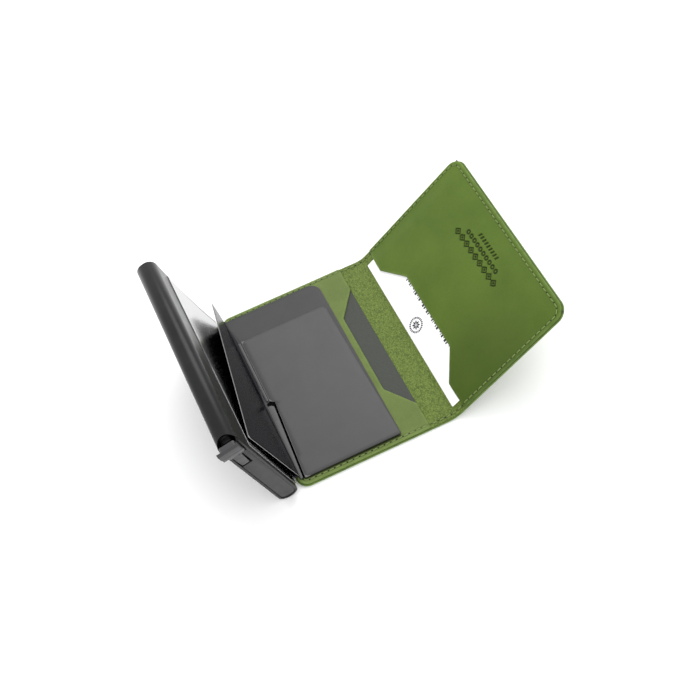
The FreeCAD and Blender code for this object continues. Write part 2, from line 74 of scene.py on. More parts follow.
panel_low, panel_high = corners_mm("outer_leather_panel")
pocket_high = corners_mm("panel_pocket")[1]
base_low, base_high = corners_mm("base_sheet")
clip_low, clip_high = corners_mm("clip_sheet")
rib_low, rib_high = corners_mm("clip_rib")
joints = {j["name"]: j for j in frame["joints"]}

# Frames ----------

HALF = panel_high[1]
PANEL_WIDTH = panel_high[0] - panel_low[0]
BEND_ANGLE = math.radians(39.0)
BEND_RADIUS = 12.0  # of the leather's outer face in the bend
STRIP_FLAT = 7.84  # flat leather between the middle panel and the bend
BEND_START = PANEL_WIDTH + STRIP_FLAT
BEND_LENGTH = BEND_RADIUS * BEND_ANGLE
BEND_REACH = BEND_RADIUS * math.tan(BEND_ANGLE / 2)
FLAP_SHIFT = BEND_START + BEND_LENGTH - BEND_REACH
FLAP_WIDTH = 67.88
COVER_END = FLAP_SHIFT + FLAP_WIDTH

# The leather's outer face: heading and place along the cover's unrolled width. The bend comes on
# slowly, over a longer stretch than the arc, and the path runs on past both ends of the cover.
BEND_EASE = 6.8
PATH_SPARE = 5
bend_middle = BEND_START + BEND_LENGTH / 2
path_s = np.linspace(-PATH_SPARE, COVER_END + PATH_SPARE, 6000)
ramp = np.clip((path_s - bend_middle + BEND_EASE) / (2 * BEND_EASE), 0, 1)
path_turn = BEND_ANGLE * (ramp - np.sin(2 * math.pi * ramp) / (2 * math.pi))
step = path_s[1] - path_s[0]
path_x = panel_low[0] - PATH_SPARE + np.concatenate([[0], np.cumsum(np.cos(path_turn[:-1]) * step)])
path_z = np.concatenate([[0], np.cumsum(np.sin(path_turn[:-1]) * step)])


def on_cover(points, height):
    """Points of the unrolled cover (width from the left edge, y) at a height over its outer face."""
    s = points[:, 0]
    turn = np.interp(s, path_s, path_turn)
    x = np.interp(s, path_s, path_x) - height * np.sin(turn)
    z = np.interp(s, path_s, path_z) + height * np.cos(turn)
    return np.stack([x, points[:, 1], z], 1)


FLAP_CORNER = panel_high[0] + STRIP_FLAT + BEND_REACH


def on_flap(points, height):
    """Points of the flap's own plane, which runs on straight past the bend."""
    c, s = math.cos(BEND_ANGLE), math.sin(BEND_ANGLE)
    x = FLAP_CORNER + points[:, 0] * c - height * s
    z = points[:, 0] * s + height * c
    return np.stack([x, points[:, 1], z], 1)


outward = -np.array(joints["lever_swing"]["axis"], float)
outward /= np.linalg.norm(outward)
upward = np.cross([0, 1, 0], outward)
case_origin = np.array([panel_low[0] - 0.54, panel_low[1] - 0.88, 2.57])


def on_case(points, height):
    """Points of the card case: up its width, along it, and from its inner face outwards."""
    return (
        case_origin
        + points[:, :1] * upward
        + points[:, 1:2] * np.array([0, 1, 0])
        + np.asarray(height, float).reshape(-1, 1) * outward
    )


# Outlines and sheets ----------


def smooth(t):
    t = np.clip(t, 0, 1)
    return t * t * (3 - 2 * t)


def outline(corners, radii, pitch):
    """A closed line through the corners, anticlockwise, rounded, with points every pitch."""
    line = []
    count = len(corners)
    for k in range(count):
        p = np.array(corners[k], float)
        a = np.array(corners[k - 1], float) - p
        b = np.array(corners[(k + 1) % count], float) - p
        a /= np.linalg.norm(a)
        b /= np.linalg.norm(b)
        r = radii[k]
        if r <= 0:
            line.append(p)
            continue
        half = math.acos(np.clip(a @ b, -1, 1)) / 2
        start = p + a * r / math.tan(half)
        end = p + b * r / math.tan(half)
        middle = (a + b) / np.linalg.norm(a + b)
        centre = p + middle * r / math.sin(half)
        first = math.atan2(*(start - centre)[::-1])
        sweep = math.atan2(*(end - centre)[::-1]) - first
        sweep = (sweep + math.pi) % (2 * math.pi) - math.pi
        parts = max(3, math.ceil(abs(sweep) * r / min(pitch, 0.25 + 0.08 * r)))
        for j in range(parts + 1):
            angle = first + sweep * j / parts
            line.append(centre + r * np.array([math.cos(angle), math.sin(angle)]))
    out = []
    for k, p in enumerate(line):
        q = line[(k + 1) % len(line)]
        parts = max(1, round(np.linalg.norm(q - p) / pitch))
        out += [p + (q - p) * j / parts for j in range(parts)]
    return np.array(out)


def rectangle(left, right, near, far, radii, pitch):
    """An outline with its corner radii given from the near left corner anticlockwise."""
    return outline([(left, near), (right, near), (right, far), (left, far)], radii, pitch)


def level(height):
    """The same height everywhere."""
    return lambda p, d: np.full(len(p), height)


def distance(points, line):
    """Distance from each point to a closed line of straight pieces."""
    a, b = line, np.roll(line, -1, 0)
    run = b - a
    length = np.maximum((run**2).sum(1), 1e-12)
    best = np.empty(len(points))
    for first in range(0, len(points), 2000):
        p = points[first : first + 2000, None, :]
        t = np.clip(((p - a) * run).sum(2) / length, 0, 1)
        gap = p - (a + t[..., None] * run)
        best[first : first + 2000] = np.sqrt((gap**2).sum(2).min(1))
    return best


def inside(points, line):
    a, b = line, np.roll(line, -1, 0)
    result = np.zeros(len(points), bool)
    for (ax, ay), (bx, by) in zip(a, b):
        if ay == by:
            continue
        crosses = (ay > points[:, 1]) != (by > points[:, 1])
        x = ax + (points[:, 1] - ay) * (bx - ax) / (by - ay)
        result ^= crosses & (points[:, 0] < x)
    return result


def grid(low, high, pitch):
    nx = max(2, int((high[0] - low[0]) / pitch))
    ny = max(2, int((high[1] - low[1]) / pitch))
    x, y = np.meshgrid(np.linspace(low[0], high[0], nx), np.linspace(low[1], high[1], ny))
    return np.stack([x.ravel(), y.ravel()], 1)


def make_object(name, points, faces, material, flat=None, rim_wear_and_highlight=None, painted_shade=None):
    mesh = bpy.data.meshes.new(name)
    mesh.from_pydata([tuple(p) for p in np.asarray(points) * MM], [], faces)
    # Of the point values, the last is painted shade, and the one before is the edge value: worn edge on
    # leather, painted highlight on plastic sheets.
    for label, values in (("flat", flat), ("rim_wear_and_highlight", rim_wear_and_highlight), ("painted_shade", painted_shade)):
        if values is None:
            continue
        kind = "FLOAT_VECTOR" if label == "flat" else "FLOAT"
        attribute = mesh.attributes.new(label, kind, "POINT")
        key = "vector" if label == "flat" else "value"
        attribute.data.foreach_set(key, np.asarray(values, np.float32).ravel())
    mesh.shade_smooth()
    piece = bpy.data.objects.new(name, mesh)
    link(piece)
    mesh.materials.append(material)
    return piece


def slab(
    name, edge, top, bottom, place, material, rings=(), pitch=1.6, rounding=0.4,
    dense=None, shade=None, light=None,
):
    """A sheet with a rounded edge. top and bottom give heights from the points and edge distance.

    rings are edge distances that get points, and dense is a box with points at a finer pitch.
    shade gives the painted shade at each point, and light scales the edge value at each point, which is
    worn edge on leather and painted highlight on plastic sheets.
    """
    run = np.roll(edge, -1, 0) - np.roll(edge, 1, 0)
    inward = np.stack([-run[:, 1], run[:, 0]], 1)
    inward /= np.linalg.norm(inward, axis=1)[:, None]
    rounds = [rounding * (1 - math.cos(math.radians(t))) for t in (25, 45, 65, 90)]
    offsets = sorted(set([round(r, 4) for r in rounds + list(rings)]))
    clouds = [edge]
    for offset in offsets:
        ring = edge + inward * offset
        near = distance(ring, edge)
        clouds.append(ring[(near > 0.9 * offset) & inside(ring, edge)])
    fill = grid(edge.min(0), edge.max(0), pitch)
    fill = fill[inside(fill, edge)]
    fill = fill[distance(fill, edge) > offsets[-1] + 0.6 * pitch]
    if dense is not None:
        low, high, fine = dense
        clear = (fill < np.array(low) - pitch / 2).any(1) | (fill > np.array(high) + pitch / 2).any(1)
        fill = np.vstack([fill[clear], grid(low, high, fine)])
    clouds.append(fill)
    cloud = np.vstack(clouds)
    count = len(edge)
    ties = [(k, (k + 1) % count) for k in range(count)]
    found = delaunay_2d_cdt([Vector(p) for p in cloud], ties, [], 1, 1e-6)
    flat = np.array([tuple(v) for v in found[0]])
    faces = [tuple(f) for f in found[2]]
    near = distance(flat, edge)
    border = near < 1e-4
    full = np.sqrt(np.clip(1 - (1 - np.clip(near / rounding, 0, 1)) ** 2, 0, 1))
    high, low = top(flat, near), bottom(flat, near)
    middle = (high + low) / 2
    upper = middle + (high - middle) * full
    lower = middle - (middle - low) * full
    below = np.where(border, np.arange(len(flat)), 0)
    below[~border] = len(flat) + np.arange((~border).sum())
    points = np.vstack([place(flat, upper), place(flat[~border], lower[~border])])
    faces += [tuple(int(below[v]) for v in reversed(f)) for f in faces]
    heights = np.concatenate([upper, lower[~border]])
    both = np.vstack([flat, flat[~border]])
    gap = np.concatenate([near, near[~border]])
    coordinates = np.column_stack([both, heights])
    # Edge value: worn edge on leather, painted highlight on plastic sheets.
    rim_wear_and_highlight = 1 - smooth(gap / 1.4)
    if light is not None:
        rim_wear_and_highlight = rim_wear_and_highlight * light(both)
    dark = np.zeros(len(both)) if shade is None else shade(both)
    dark[len(flat) :] = 0
    return make_object(name, points, faces, material, coordinates, rim_wear_and_highlight, dark)


def flat_slab(name, edge, top, bottom, material, pitch, rounding):
    """A flat piece on the cover."""
    return slab(
        name, edge, level(top), level(bottom), on_cover, material, pitch=pitch, rounding=rounding
    )


def ripple(points, size, depth, seed=0):
    """Slow unevenness, the same each run."""
    x, y = points[:, 0] / size + seed * 1.7, points[:, 1] / size - seed * 2.3
    wave = np.sin(x + 1.3 * np.sin(y * 0.7)) + np.sin(y * 1.3 + 1.1 * np.sin(x * 0.9 + seed))
    wave += 0.5 * np.sin(2.3 * x - 1.9 * y + seed)
    return depth * wave / 2.5


def seam_path(corners, radius):
    """An open line through the corners with an arc at each inner one."""
    line = [np.array(corners[0], float)]
    for k in range(1, len(corners) - 1):
        p = np.array(corners[k], float)
        a = np.array(corners[k - 1], float) - p
        b = np.array(corners[k + 1], float) - p
        a /= np.linalg.norm(a)
        b /= np.linalg.norm(b)
        centre = p + (a + b) * radius
        for t in np.linspace(0, math.pi / 2, 13):
            line.append(centre - b * radius * math.cos(t) - a * radius * math.sin(t))
    line.append(np.array(corners[-1], float))
    return np.array(line)


def walk(line):
    """The line's length, and a function giving the place and heading at a distance along it."""
    lengths = np.concatenate([[0], np.cumsum(np.linalg.norm(np.diff(line, axis=0), axis=1))])

    def at(s):
        spot = np.array([np.interp(s, lengths, line[:, 0]), np.interp(s, lengths, line[:, 1])])
        k = min(max(np.searchsorted(lengths, s) - 1, 0), len(line) - 2)
        along = (line[k + 1] - line[k]) / np.linalg.norm(line[k + 1] - line[k])
        return spot, along

    return lengths[-1], at


STITCH = 2.9  # from one thread to the next
THREAD_HALF = 2.2 / 2
THREAD_RADIUS = 0.26
HOLE_LONG, HOLE_WIDE = 0.44, 0.4


def stitches(name, runs, place, height):
    """Separate threads along seams, each sunk at its ends and a little askew."""
    points, faces, flat = [], [], []
    sides, spans = 8, 7
    for number, run in enumerate(runs):
        total, at = walk(run)
        count = int(total // STITCH)
        for k in range(count):
            middle = total * (k + 0.5) / count
            slant = 0.055 + 0.02 * math.sin(3.1 * k + number)
            first = len(points)
            for j in range(spans):
                t = 2 * j / (spans - 1) - 1
                spot, along = at(middle + t * THREAD_HALF)
                across = np.array([-along[1], along[0]])
                size = THREAD_RADIUS * (1 - 0.4 * t**6)
                lift = 0.12 - 0.24 * abs(t) ** 3 + 0.015 * math.sin(5 * k)
                for m in range(sides):
                    angle = 2 * math.pi * m / sides
                    side = size * math.cos(angle) + slant * t * THREAD_HALF * 1.2
                    rise = size * 0.8 * math.sin(angle) + lift
                    points.append(spot + across * side)
                    flat.append((t * THREAD_HALF, angle * size, height + rise))
            for j in range(spans - 1):
                for m in range(sides):
                    a = first + j * sides + m
                    b = first + j * sides + (m + 1) % sides
                    faces.append((a, b, b + sides, a + sides))
            faces.append(tuple(first + m for m in reversed(range(sides))))
            faces.append(tuple(first + (spans - 1) * sides + m for m in range(sides)))
    points = np.array(points)
    flat = np.array(flat)
    return make_object(name, place(points, flat[:, 2]), faces, thread, flat)


def needle_holes(name, runs, place, height):
    """Small dimples between the threads, where the needle went through, coloured dark as painted shade in
    the holes.
    """
    points, faces, heights = [], [], []
    sides = 10
    for run in runs:
        total, at = walk(run)
        count = int(total // STITCH)
        for k in range(count + 1):
            centre, along = at(total * k / count)
            across = np.array([-along[1], along[0]])
            first = len(points)
            points.append(centre)
            heights.append(height + 0.03)
            for m in range(sides):
                angle = 2 * math.pi * m / sides
                c, s = math.cos(angle), math.sin(angle)
                points.append(centre + along * HOLE_LONG * c + across * HOLE_WIDE * s)
                heights.append(height - 0.05)
                faces.append((first, first + 1 + m, first + 1 + (m + 1) % sides))
    flat = np.column_stack([np.array(points), heights])
    return make_object(name, place(np.array(points), np.array(heights)), faces, needle_hole_shade, flat)


def sew(name, runs, place, thread_height, hole_height, node=None, body=None):
    """Threads and needle holes along seams: on one body, or over the bend if none is given."""
    threads = stitches(f"{name}_threads", runs, place, thread_height)
    if node:
        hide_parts(node)
    holes = needle_holes(f"{name}_needle_holes", runs, place, hole_height)
    for piece in (threads, holes):
        if body:
            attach(piece, body)
        else:
            over_bend(piece)


def over_bend(piece):
    """The piece, already shaped over the bend between the middle panel and the flap, keeps its place, baked
    into its points.
    """
    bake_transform(piece)


def two_sided(rows, columns):
    """Faces of a thin sheet whose points are two grids, the front and then the back."""
    wide = columns + 1
    count = (rows + 1) * wide
    faces = []
    for i in range(rows):
        for j in range(columns):
            a, b = i * wide + j, i * wide + j + 1
            c, d = b + wide, a + wide
            faces += [(a, b, c, d), (count + d, count + c, count + b, count + a)]
    for i in range(rows):
        for j in (0, columns):
            a, d = i * wide + j, (i + 1) * wide + j
            quad = (a, d, count + d, count + a)
            faces.append(quad if j == 0 else tuple(reversed(quad)))
    for j in range(columns):
        for i in (0, rows):
            a, b = i * wide + j, i * wide + j + 1
            quad = (a, count + a, count + b, b)
            faces.append(quad if i == 0 else tuple(reversed(quad)))
    return faces


def refined(node, name, material, width, worn=None, shift=None):
    """The CAD node's shape with its sharp edges broken, as a piece that stands for the node.

    width is that of the broken edges. worn gives a second material for them and says which of them
    it is for. shift moves points before the edges are broken.
    """
    mesh = frame["nodes"][node].data.copy()
    mesh.name = name
    bm = bmesh.new()
    bm.from_mesh(mesh)
    for f in bm.faces:
        f.material_index = 0
    bmesh.ops.remove_doubles(bm, verts=bm.verts, dist=2e-6)
    if shift is not None:
        for v in bm.verts:
            v.co = shift(v.co)
    bmesh.ops.dissolve_limit(bm, angle_limit=math.radians(0.4), verts=bm.verts, edges=bm.edges)
    sharp = [e for e in bm.edges if len(e.link_faces) == 2 and e.calc_face_angle(0) > math.radians(32)]
    if width:
        bmesh.ops.bevel(
            bm,
            geom=sharp,
            offset=width * MM,
            offset_type="OFFSET",
            segments=2,
            profile=0.5,
            affect="EDGES",
            clamp_overlap=True,
            material=1,
        )
    for f in bm.faces:
        if f.material_index and not (worn and worn[1](f.calc_center_median())):
            f.material_index = 0
    bmesh.ops.triangulate(bm, faces=[f for f in bm.faces if len(f.verts) > 4])
    for e in bm.edges:
        e.smooth = len(e.link_faces) == 2 and e.calc_face_angle(0) < math.radians(38)
    for f in bm.faces:
        f.smooth = True
    bm.to_mesh(mesh)
    bm.free()
    mesh.materials.clear()
    mesh.materials.append(material)
    if worn:
        mesh.materials.append(worn[0])
    piece = bpy.data.objects.new(name, mesh)
    link(piece)
    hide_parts(node)
    return piece


# Materials ----------


def linear(r, g, b):
    """A colour given from 0 to 255 as it looks on a screen, in the shader's linear terms."""
    return tuple(((c / 255 + 0.055) / 1.055) ** 2.4 for c in (r, g, b)) + (1.0,)


def grey(value, blue=0):
    """A grey with a little more or less blue."""
    return linear(value, value, value + blue)


class Finish:
    """A material with a few short ways to add nodes."""

    def __init__(self, name, flat=False):
        self.material = bpy.data.materials.new(name)
        self.material.use_nodes = True
        self.tree = self.material.node_tree
        self.shader = self.tree.nodes["Principled BSDF"]
        if flat:
            where = self.node("ShaderNodeAttribute")
            where.attribute_name = "flat"
            self.place = where.outputs["Vector"]
        else:
            where = self.node("ShaderNodeTexCoord")
            scale = self.node("ShaderNodeVectorMath", operation="SCALE")
            self.link(where.outputs["Object"], scale.inputs[0])
            scale.inputs["Scale"].default_value = 1 / MM
            self.place = scale.outputs["Vector"]

    def node(self, kind, **settings):
        made = self.tree.nodes.new(kind)
        for key, value in settings.items():
            setattr(made, key, value)
        return made

    def link(self, a, b):
        self.tree.links.new(a, b)

    def attribute(self, name):
        made = self.node("ShaderNodeAttribute")
        made.attribute_name = name
        return made.outputs["Fac"]

    def noise(self, size, detail=3.0, rough=0.55, distortion=0.0, stretch=None):
        made = self.node("ShaderNodeTexNoise")
        place = self.place
        if stretch is not None:
            scaled = self.node("ShaderNodeVectorMath", operation="MULTIPLY")
            self.link(place, scaled.inputs[0])
            scaled.inputs[1].default_value = stretch
            place = scaled.outputs["Vector"]
        self.link(place, made.inputs["Vector"])
        made.inputs["Scale"].default_value = 1 / size
        made.inputs["Detail"].default_value = detail
        made.inputs["Roughness"].default_value = rough
        made.inputs["Distortion"].default_value = distortion
        return made.outputs["Fac"]

    def cells(self, size, feature, smoothness=None):
        made = self.node("ShaderNodeTexVoronoi", feature=feature)
        self.link(self.place, made.inputs["Vector"])
        made.inputs["Scale"].default_value = 1 / size
        if smoothness is not None:
            made.inputs["Smoothness"].default_value = smoothness
        return made.outputs["Distance"]

    def math(self, operation, a, b=None, clamp=False):
        made = self.node("ShaderNodeMath", operation=operation, use_clamp=clamp)
        for k, value in enumerate((a, b)):
            if value is None:
                continue
            if isinstance(value, (int, float)):
                made.inputs[k].default_value = value
            else:
                self.link(value, made.inputs[k])
        return made.outputs[0]

    def spread(self, value, low, high, to_low=0.0, to_high=1.0):
        made = self.node("ShaderNodeMapRange", interpolation_type="SMOOTHSTEP")
        self.link(value, made.inputs["Value"])
        for key, number in (("From Min", low), ("From Max", high), ("To Min", to_low), ("To Max", to_high)):
            made.inputs[key].default_value = number
        return made.outputs["Result"]

    def mix(self, factor, a, b, blend="MIX"):
        made = self.node("ShaderNodeMix", data_type="RGBA", blend_type=blend)
        if isinstance(factor, (int, float)):
            made.inputs["Factor"].default_value = factor
        else:
            self.link(factor, made.inputs["Factor"])
        for socket, value in ((made.inputs[6], a), (made.inputs[7], b)):
            if isinstance(value, tuple):
                socket.default_value = value
            else:
                self.link(value, socket)
        return made.outputs[2]

    def bump(self, height, depth, after=None, strength=1.0):
        """depth is how far, in millimetres, the height's full range stands."""
        made = self.node("ShaderNodeBump")
        made.inputs["Strength"].default_value = strength
        made.inputs["Distance"].default_value = depth * MM
        self.link(height, made.inputs["Height"])
        if after is not None:
            self.link(after, made.inputs["Normal"])
        return made.outputs["Normal"]

    def set(self, **values):
        for key, value in values.items():
            socket = self.shader.inputs[key.replace("_", " ")]
            if isinstance(value, (int, float, tuple)):
                socket.default_value = value
            else:
                self.link(value, socket)
        return self.material


def leather(name, deep, light, edge, grain=0.42, depth=0.035, rough=(0.40, 0.56), mottle=14.0):
    """Dyed leather: slow mottling, fine pores and creases, paler worn rims, and painted shade from the
    mesh.
    """
    f = Finish(name, flat=True)
    cloud = f.noise(mottle, detail=4, rough=0.6)
    fleck = f.noise(0.9, detail=3)
    tone = f.mix(f.spread(cloud, 0.3, 0.7), deep, light)
    tone = f.mix(f.spread(fleck, 0.35, 0.75, 0.0, 0.22), tone, light)
    pores = f.cells(grain, "DISTANCE_TO_EDGE")
    crease = f.spread(pores, 0.0, 0.16)
    dark = tuple(c * 0.62 for c in deep[:3]) + (1.0,)
    tone = f.mix(f.math("MULTIPLY", f.math("SUBTRACT", 1.0, crease), 0.28), tone, dark)
    rim_wear_and_highlight = f.attribute("rim_wear_and_highlight")
    worn = f.math("MULTIPLY", rim_wear_and_highlight, f.spread(f.noise(3.0, detail=3), 0.3, 0.7, 0.15, 0.6))
    tone = f.mix(worn, tone, edge)
    # Painted shade: darkened toward this where the mesh's shade value is set.
    shadow = tuple(c * 0.14 for c in deep[:3]) + (1.0,)
    tone = f.mix(f.math("MULTIPLY", f.attribute("painted_shade"), 0.95), tone, shadow)
    gloss = f.math("ADD", f.spread(cloud, 0.3, 0.7, rough[0], rough[1]), f.math("MULTIPLY", crease, -0.05))
    normal = f.bump(crease, depth)
    normal = f.bump(f.noise(0.22, detail=2), depth * 0.6, normal)
    normal = f.bump(f.noise(5.0, detail=2), 0.12, normal, 0.6)
    return f.set(Base_Color=tone, Roughness=gloss, Normal=normal, Specular_IOR_Level=0.22)


def coarse_leather(name, deep, light):
    """Leather with a coarse pebbled grain, pale flecks and painted shade from the mesh."""
    f = Finish(name, flat=True)
    lumps = f.noise(0.7, detail=3, rough=0.55, distortion=1.2, stretch=(1.0, 0.7, 1.0))
    pebble = f.cells(0.8, "SMOOTH_F1", 0.5)
    cloud = f.noise(7.0, detail=3)
    tone = f.mix(f.spread(lumps, 0.36, 0.62), deep, light)
    tone = f.mix(f.spread(cloud, 0.35, 0.7, 0.0, 0.12), tone, light)
    fleck = f.spread(f.noise(0.6, detail=2), 0.56, 0.68, 0.0, 0.5)
    tone = f.mix(fleck, tone, tuple(min(1.0, c * 1.7) for c in light[:3]) + (1.0,))
    height = f.math("ADD", f.math("MULTIPLY", lumps, 0.7), f.math("MULTIPLY", pebble, -0.5))
    normal = f.bump(height, 0.42)
    normal = f.bump(f.noise(0.18, detail=2), 0.03, normal)
    # Painted shade along the seam grooves, from the mesh's shade value.
    shadow = tuple(c * 0.2 for c in deep[:3]) + (1.0,)
    tone = f.mix(f.math("MULTIPLY", f.attribute("painted_shade"), 0.9), tone, shadow)
    return f.set(Base_Color=tone, Roughness=0.6, Normal=normal, Specular_IOR_Level=0.3)


def sheet_plastic(name, deep, light, rough=(0.37, 0.4), bright=0.3, shine=0.5, dust=0.2, coat=0.0):
    """Satin plastic sheet: fine texture, faint scuffs, painted highlights on the cut edges, and painted
    shade from the mesh.
    """
    f = Finish(name, flat=True)
    cloud = f.noise(30.0, detail=2)
    tone = f.mix(f.spread(cloud, 0.3, 0.7), deep, light)
    # Painted highlight along the cut edges.
    edge = f.math("MULTIPLY", f.spread(f.attribute("rim_wear_and_highlight"), 0.86, 1.0), bright)
    tone = f.mix(edge, tone, linear(165, 165, 165))
    # Painted shade, near black, where the mesh's shade value is set; it also takes the shine away there.
    tone = f.mix(f.attribute("painted_shade"), tone, linear(3, 3, 4))
    tone = f.mix(f.spread(f.noise(0.5, detail=2), 0.81, 0.85, 0.0, dust), tone, linear(150, 150, 148))
    gloss = f.spread(f.noise(6.0, detail=4, rough=0.7), 0.3, 0.75, rough[0], rough[1])
    normal = f.bump(f.noise(0.16, detail=2), 0.002)
    level = f.math("MULTIPLY", f.math("SUBTRACT", 1.0, f.attribute("painted_shade")), shine)
    f.set(Coat_Weight=coat, Coat_Roughness=rough[0])
    return f.set(Base_Color=tone, Roughness=gloss, Normal=normal, Specular_IOR_Level=level)


def anodised(name, deep, light, rough=(0.32, 0.37), metallic=0.9):
    """Bead-blasted anodised aluminium."""
    f = Finish(name)
    fine = f.noise(0.12, detail=2)
    cloud = f.noise(9.0, detail=3)
    tone = f.mix(f.spread(cloud, 0.3, 0.7), deep, light)
    tone = f.mix(f.spread(fine, 0.4, 0.8, 0.0, 0.25), tone, light)
    streak = f.noise(0.5, detail=4, rough=0.65, stretch=(1.0, 0.04, 1.0))
    uneven = f.math("ADD", f.math("MULTIPLY", cloud, 0.6), f.math("MULTIPLY", streak, 0.4))
    gloss = f.spread(uneven, 0.3, 0.7, *rough)
    normal = f.bump(fine, 0.008)
    normal = f.bump(streak, 0.003, normal)
    f.set(Coat_Weight=0.3, Coat_Roughness=0.28)
    return f.set(Base_Color=tone, Roughness=gloss, Normal=normal, Metallic=metallic)


def moulded(name, deep, light, rough=(0.45, 0.6), shine=0.5):
    """Moulded plastic with a fine spark-eroded texture."""
    f = Finish(name)
    fine = f.noise(0.2, detail=3)
    tone = f.mix(f.spread(fine, 0.35, 0.7), deep, light)
    gloss = f.spread(f.noise(3.0, detail=3), 0.3, 0.7, *rough)
    return f.set(Base_Color=tone, Roughness=gloss, Normal=f.bump(fine, 0.015), Specular_IOR_Level=shine)


def thread_finish(name, deep, light):
    """Twisted thread: slanting strands along each stitch."""
    f = Finish(name, flat=True)
    strands = f.node("ShaderNodeTexWave", wave_type="BANDS", bands_direction="DIAGONAL")
    f.link(f.place, strands.inputs["Vector"])
    strands.inputs["Scale"].default_value = 1.4
    strands.inputs["Distortion"].default_value = 0.4
    tone = f.mix(f.spread(strands.outputs["Fac"], 0.2, 0.8), deep, light)
    return f.set(Base_Color=tone, Roughness=0.6, Normal=f.bump(strands.outputs["Fac"], 0.05))


def paper(name):
    f = Finish(name, flat=True)
    fibre = f.noise(0.5, detail=4, rough=0.7)
    tone = f.mix(f.spread(fibre, 0.35, 0.7), linear(250, 250, 252), linear(255, 255, 255))
    gloss = f.spread(f.noise(4.0), 0.3, 0.7, 0.5, 0.62)
    return f.set(Base_Color=tone, Roughness=gloss, Normal=f.bump(fibre, 0.006))


def ink(name):
    f = Finish(name)
    tone = f.mix(f.spread(f.noise(0.3, detail=3), 0.35, 0.65), linear(20, 22, 30), linear(36, 40, 50))
    return f.set(Base_Color=tone, Roughness=0.55)


def lining_finish(name):
    """Dark coated lining with a close plain weave showing through."""
    f = Finish(name)
    warp = f.node("ShaderNodeTexWave", wave_type="BANDS", bands_direction="X")
    weft = f.node("ShaderNodeTexWave", wave_type="BANDS", bands_direction="Y")
    for wave in (warp, weft):
        f.link(f.place, wave.inputs["Vector"])
        wave.inputs["Scale"].default_value = 0.75
        wave.inputs["Distortion"].default_value = 0.6
    weave = f.math("MULTIPLY", warp.outputs["Fac"], weft.outputs["Fac"])
    speck = f.noise(0.5, detail=4)
    tone = f.mix(f.spread(speck, 0.35, 0.7), linear(44, 47, 41), linear(56, 60, 52))
    tone = f.mix(f.math("MULTIPLY", weave, 0.35), tone, linear(64, 68, 59))
    return f.set(Base_Color=tone, Roughness=0.66, Normal=f.bump(weave, 0.03))


def metal(name, tone_a, tone_b, rough=(0.2, 0.32), metallic=1.0):
    f = Finish(name)
    streak = f.noise(0.6, detail=4, stretch=(1.0, 1.0, 0.2))
    tone = f.mix(streak, tone_a, tone_b)
    return f.set(Base_Color=tone, Roughness=f.spread(streak, 0.3, 0.7, *rough), Metallic=metallic)


def felt_finish(name):
    f = Finish(name)
    fuzz = f.noise(0.25, detail=5, rough=0.75)
    tone = f.mix(f.spread(fuzz, 0.3, 0.7), grey(34, 2), grey(70, 2))
    return f.set(Base_Color=tone, Roughness=0.95, Normal=f.bump(fuzz, 0.12), Sheen_Weight=0.4)


GREEN_EDGE = linear(112, 136, 68)
outer_leather = leather("outer_leather", linear(72, 98, 28), linear(86, 112, 42), GREEN_EDGE, mottle=26.0)
flap_leather = leather("flap_leather", linear(72, 97, 20), linear(86, 109, 32), GREEN_EDGE, mottle=30.0)
panel_leather = leather(
    "panel_leather", linear(92, 108, 52), linear(106, 122, 64), GREEN_EDGE, rough=(0.5, 0.62)
)
grain_leather = coarse_leather("grain_leather", linear(66, 84, 24), linear(100, 118, 48))
thread = thread_finish("thread", linear(92, 112, 52), linear(128, 148, 84))
# Dark leather for the needle holes: painted shade in the holes.
needle_hole_shade = leather("needle_hole_shade", linear(20, 28, 10), linear(28, 38, 14), linear(28, 38, 14))
base_plastic = sheet_plastic("base_plastic", grey(25, 1), grey(28, 1), bright=0.1, shine=0.36)
# A lighter copy of the base sheet's plastic, as painted light on its raised strip.
strip_plastic_lit = sheet_plastic("strip_plastic_lit", grey(46), grey(52), bright=0.15)
clip_plastic = sheet_plastic("clip_plastic", grey(41), grey(44), (0.36, 0.39), 0.35, shine=0.42)
dark_film = sheet_plastic("dark_film", linear(6, 5, 12), linear(8, 7, 15), (0.26, 0.28), 0.7, 0.22, 0.03)
plate_film = sheet_plastic("plate_film", grey(4, 2), grey(7, 3), (0.17, 0.18), 0.5, 1.0, 0.02, coat=1.0)
# Near-black plastic for the patch of painted shade by the clip's notch.
shadow_patch_dark = moulded("shadow_patch_dark", grey(3, 1), grey(6, 1), rough=(0.7, 0.8), shine=0.05)
aluminium = anodised("aluminium", grey(21, 1), grey(29, 1))
# Raw metal of the case's cut edges, made near-white and mostly matte so it also serves as their painted
# highlight.
raw_edge_and_highlight = metal("raw_edge_and_highlight", grey(215, -2), grey(240, -2), rough=(0.45, 0.6), metallic=0.35)
cap_plastic = moulded("cap_plastic", grey(24, 1), grey(30, 2), rough=(0.3, 0.4), shine=0.45)
button_plastic = moulded("button_plastic", grey(38, 2), grey(48, 2), rough=(0.3, 0.42))
lever_plastic = moulded("lever_plastic", grey(34, 2), grey(44, 2))
card_paper = paper("card_paper")
card_ink = ink("card_ink")
lining = lining_finish("lining")
steel = metal("steel", grey(150, 2), grey(190, 2))
felt = felt_finish("felt")

# Cover leather ----------

LEATHER = 1.2
PANEL_CORNER, FLAP_ROUND = 5.0, 6.0
INSET = 0.42  # the upper leathers end this far inside the cover's edge
SEWN = 1.22  # underside of the upper leathers where they are sewn down

